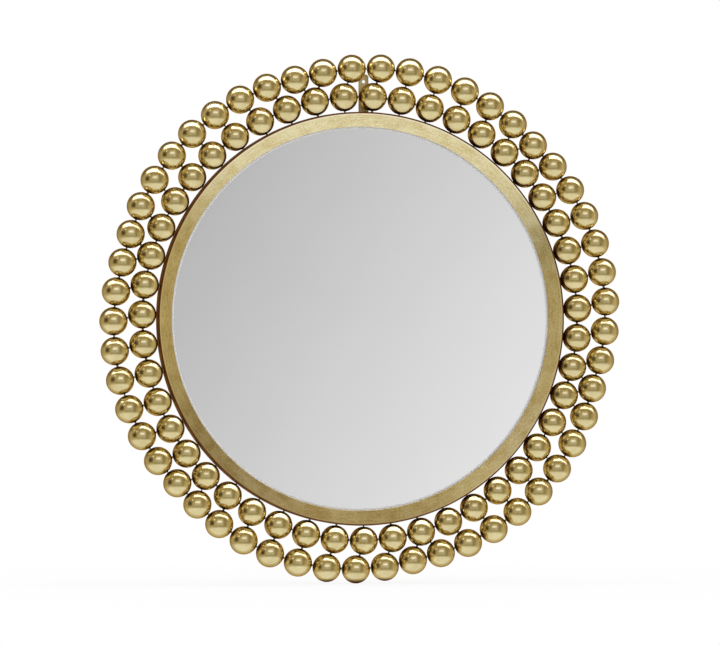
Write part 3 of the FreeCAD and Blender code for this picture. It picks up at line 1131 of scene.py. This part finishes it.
# %% Directions in the room
world = bpy.data.worlds.new("studio")
scene.world = world
world.use_nodes = True
tree = world.node_tree
tree.nodes.clear()
direction = add(tree, "ShaderNodeTexCoord").outputs["Generated"]
xyz = add(tree, "ShaderNodeSeparateXYZ", {"Vector": direction})
ahead = add(tree, "ShaderNodeMath", {0: xyz.outputs["Y"], 1: -1.0}, operation="MULTIPLY")
turn = add(tree, "ShaderNodeMath", {0: xyz.outputs["X"], 1: ahead}, operation="ARCTAN2")
bearing = add(tree, "ShaderNodeMath", {0: turn}, operation="DEGREES")
rise = add(tree, "ShaderNodeMath", {0: xyz.outputs["Z"]}, operation="ARCSINE")
height = add(tree, "ShaderNodeMath", {0: rise}, operation="DEGREES")
toward = add(tree, "ShaderNodeVectorMath", {0: direction, 1: sight_line}, operation="DOT_PRODUCT")
toward = toward.outputs["Value"]
print("towards the camera:", [round(v, 3) for v in sight_line])


# %% [markdown]
# A panel is a mask in bearing times a mask in height, with its colour mixed over the room by that mask.
# Each mask rises at one limit and falls at the other, by a smooth step, so that no edge in the room is
# hard.


# %% Paint the panels
def inside(tree, value, low, high, soft):
    edges = []
    for start, end in ((low - soft, low + soft), (high + soft, high - soft)):
        reach = {"Value": value, "From Min": start, "From Max": end}
        edges.append(add(tree, "ShaderNodeMapRange", reach, interpolation_type="SMOOTHSTEP"))
    return add(tree, "ShaderNodeMath", {0: edges[0], 1: edges[1]}, operation="MULTIPLY")


def painted(tree, room, colour, *masks):
    """The room with a colour over it, wherever all the masks let the colour show."""
    mask = masks[0]
    for other in masks[1:]:
        mask = add(tree, "ShaderNodeMath", {0: mask, 1: other}, operation="MULTIPLY")
    return add(tree, "ShaderNodeMix", {0: mask, 6: room, 7: colour}, data_type="RGBA").outputs[2]


room = WALL
for (left, right), (low, high), soft, colour in PANELS.values():
    across = inside(tree, bearing, left, right, soft)
    upward = inside(tree, height, low, high, soft)
    room = painted(tree, room, (*colour, 1.0), across, upward)
print("nodes for the panels:", len(tree.nodes))

# %% [markdown]
# The rest of the room has limits on one side only, so each line below is a fade: what it runs along, where
# it begins and where it is full. The arch stands square to the camera and reaches further towards it at
# the top. Its left foot ends high on the wall, and its right foot comes down to the floor. Behind it lies
# the dim side of the room, and straight behind the mirror the white backdrop.

# %% The fades of the arch and of the room behind
ARCH_LEAN = {"From Min": 35.0, "From Max": 72.0, "To Min": 0.05, "To Max": 0.30}
arch_depth = add(tree, "ShaderNodeMapRange", {"Value": height, **ARCH_LEAN})
past_front = add(tree, "ShaderNodeMath", {0: toward, 1: arch_depth}, operation="SUBTRACT")
FADES = {
    "behind the arch": (toward, -0.10, -0.26),
    "ceiling behind": (height, 8, 30),
    "floor behind": (height, -8, -24),
    "arch from foot to top": (height, 15, 55),
    "arch front": (past_front, 0.09, -0.09),
    "arch back": (toward, -0.26, -0.10),
    "right side": (bearing, 0, 60),
    "left foot": (height, 34, 50),
    "right foot": (height, -32, -18),
    "backdrop": (toward, -0.86, -0.93),
}
fades = {}
for name, (value, start, end) in FADES.items():
    reach = {"Value": value, "From Min": start, "From Max": end}
    fades[name] = add(tree, "ShaderNodeMapRange", reach, interpolation_type="SMOOTHSTEP")
print("fades:", ", ".join(fades))

# %% [markdown]
# The parts go on from the back of the room forwards, and the backdrop comes last. The arch is far
# brighter at its top than at its feet, which gives every ball its bright upper half.

# %% Paint the arch and the room behind
BACK_WALL = (0.42, 0.37, 0.29, 1.0)
BACK_CEILING = (0.17, 0.14, 0.10, 1.0)
BACK_FLOOR = (0.60, 0.56, 0.48, 1.0)
ARCH_FOOT = (0.58, 0.53, 0.42, 1.0)
ARCH_TOP = (3.8, 3.9, 4.4, 1.0)
back = painted(tree, BACK_WALL, BACK_CEILING, fades["ceiling behind"])
back = painted(tree, back, BACK_FLOOR, fades["floor behind"])
room = painted(tree, room, back, fades["behind the arch"])
arch_tone = painted(tree, ARCH_FOOT, ARCH_TOP, fades["arch from foot to top"])
foot = add(
    tree,
    "ShaderNodeMix",
    {0: fades["right side"], 2: fades["left foot"], 3: fades["right foot"]},
    data_type="FLOAT",
)
room = painted(tree, room, arch_tone, foot, fades["arch front"], fades["arch back"])
room = painted(tree, room, WHITE, fades["backdrop"])
print("nodes for the room:", len(tree.nodes))

# %% [markdown]
# The glass shows the camera one small window of the room, three degrees wide. In the picture that window
# is a smooth grey that brightens from upper left to lower right, so the last panel is a slope of grey,
# not a colour. A flat mirror keeps left and right, up and down, so the slope on the world runs the same
# way.

# %% The patch that the glass shows
GREY_IN_THE_MIDDLE = 0.66
GREY_GAIN_RIGHT = 0.129
GREY_GAIN_DOWN = 0.083
VISIBLE_RADIUS = 0.2575
PATCH_HALF = 3.6
PATCH_SOFT = 1.2
middle_bearing = -math.degrees(AZIMUTH)
middle_height = -math.degrees(ELEVATION)
half_view = math.degrees(VISIBLE_RADIUS / DISTANCE)
gains = []
masks = []
for value, middle, gain in (
    (bearing, middle_bearing, GREY_GAIN_RIGHT),
    (height, middle_height, -GREY_GAIN_DOWN),
):
    seen = {"From Min": middle - half_view, "From Max": middle + half_view}
    slope = {"Value": value, **seen, "To Min": -gain, "To Max": gain}
    gains.append(add(tree, "ShaderNodeMapRange", slope, clamp=False))
    masks.append(inside(tree, value, middle - PATCH_HALF, middle + PATCH_HALF, PATCH_SOFT))
grey = add(tree, "ShaderNodeMath", {0: gains[0], 1: gains[1]})
grey = add(tree, "ShaderNodeMath", {0: grey, 1: GREY_IN_THE_MIDDLE})
grey = add(tree, "ShaderNodeClamp", {"Value": grey, "Min": 0.4, "Max": 0.9})
grey = add(tree, "ShaderNodeCombineColor", {0: grey, 1: grey, 2: grey})
room = painted(tree, room, grey, *masks)
print("the glass shows, degrees wide:", round(2 * half_view, 2))

# %% [markdown]
# The camera itself sees plain white behind the mirror, as in the picture. Everything else, light and
# reflections alike, comes from the painted room. The Standard view shows each colour about as it is
# written.

# %% Light the mirror with the room
lit = add(tree, "ShaderNodeBackground", {"Color": room, "Strength": 1.0})
plain = add(tree, "ShaderNodeBackground", {"Color": WHITE, "Strength": 1.0})
ray = add(tree, "ShaderNodeLightPath")
sky = add(tree, "ShaderNodeMixShader", {0: ray.outputs["Is Camera Ray"], 1: lit, 2: plain})
add(tree, "ShaderNodeOutputWorld", {"Surface": sky})
scene.view_settings.view_transform = "Standard"
print("view transform:", scene.view_settings.view_transform)
